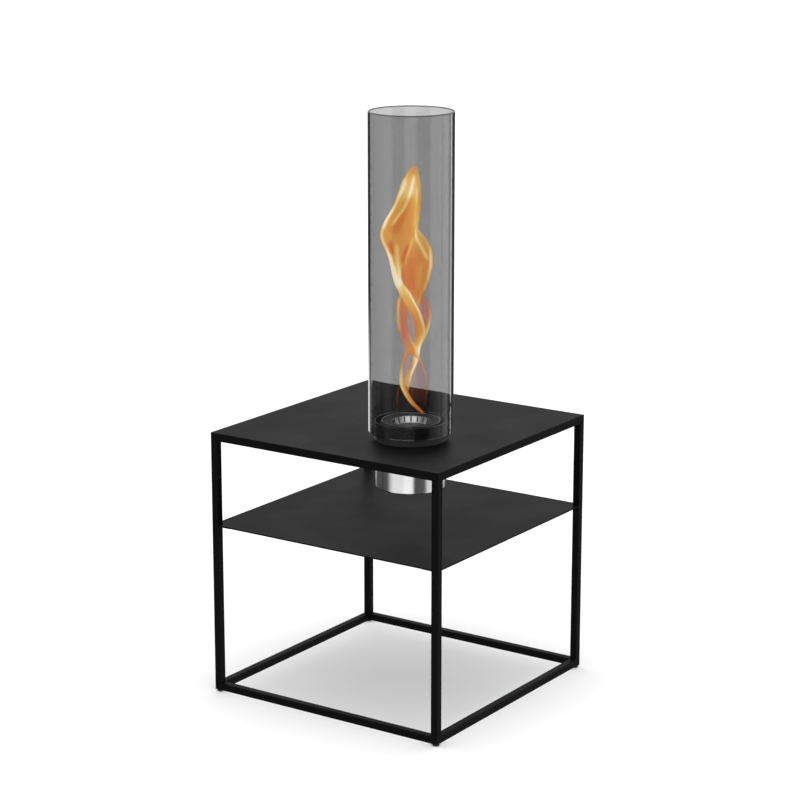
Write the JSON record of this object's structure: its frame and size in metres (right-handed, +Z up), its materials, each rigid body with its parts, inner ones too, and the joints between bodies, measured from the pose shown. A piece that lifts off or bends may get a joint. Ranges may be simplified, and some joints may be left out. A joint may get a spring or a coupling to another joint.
{
  "type": "fire pit table",
  "caption": "Cube side table of black square tube with a sheet top and shelf, and a swirl burner with a tall smoked glass chimney set into the top.",
  "frame": {"origin": "on the floor under the middle of the square table", "axes": "+Z up; -Y is the front; the burner stands towards the front right corner (+X, -Y)"},
  "size_m": [0.4, 0.4, 0.8788],
  "materials": {
    "powder_coat": "satin",
    "cast_black": "satin",
    "polished_steel": "polished",
    "can_steel": "satin",
    "funnel_steel": "satin",
    "zinc_steel": "satin",
    "ceramic_wool": "matte",
    "smoked_glass": "polished",
    "glide_plastic": "matte",
    "flame": "matte"
  },
  "bodies": {
    "table": {"leg_front_right": "powder_coat", "leg_back_right": "powder_coat", "leg_back_left": "powder_coat", "leg_front_left": "powder_coat", "top_rail_front": "powder_coat", "top_rail_right": "powder_coat", "top_rail_back": "powder_coat", "top_rail_left": "powder_coat", "bottom_rail_front": "powder_coat", "bottom_rail_right": "powder_coat", "bottom_rail_back": "powder_coat", "bottom_rail_left": "powder_coat", "table_top": "powder_coat", "shelf": "powder_coat", "corner_plate_front_right": "powder_coat", "corner_plate_back_right": "powder_coat", "corner_plate_back_left": "powder_coat", "corner_plate_front_left": "powder_coat", "top_studs": "zinc_steel", "top_nuts": "zinc_steel", "shelf_bracket_front_right": "powder_coat", "shelf_bracket_back_right": "powder_coat", "shelf_bracket_back_left": "powder_coat", "shelf_bracket_front_left": "powder_coat", "foot_glide_front_right": "glide_plastic", "foot_glide_back_right": "glide_plastic", "foot_glide_back_left": "glide_plastic", "foot_glide_front_left": "glide_plastic"},
    "burner": {"swirl_body": "cast_black", "burner_cup": "polished_steel", "cup_screws": "zinc_steel"},
    "fuel_can": {"fuel_can": "can_steel", "can_funnel": "funnel_steel", "ceramic_wool": "ceramic_wool"},
    "glass": {"glass_chimney": "smoked_glass"}
  },
  "joints": [
    {"name": "burner_lift", "type": "slide", "parent": "table", "child": "burner", "axis": [0, 0, 1], "range_m": [0, 0.1]},
    {"name": "can_lift", "type": "slide", "parent": "burner", "child": "fuel_can", "axis": [0, 0, 1], "range_m": [0, 0.12]},
    {"name": "glass_lift", "type": "slide", "parent": "burner", "child": "glass", "axis": [0, 0, 1], "range_m": [0, 0.1]}
  ]
}
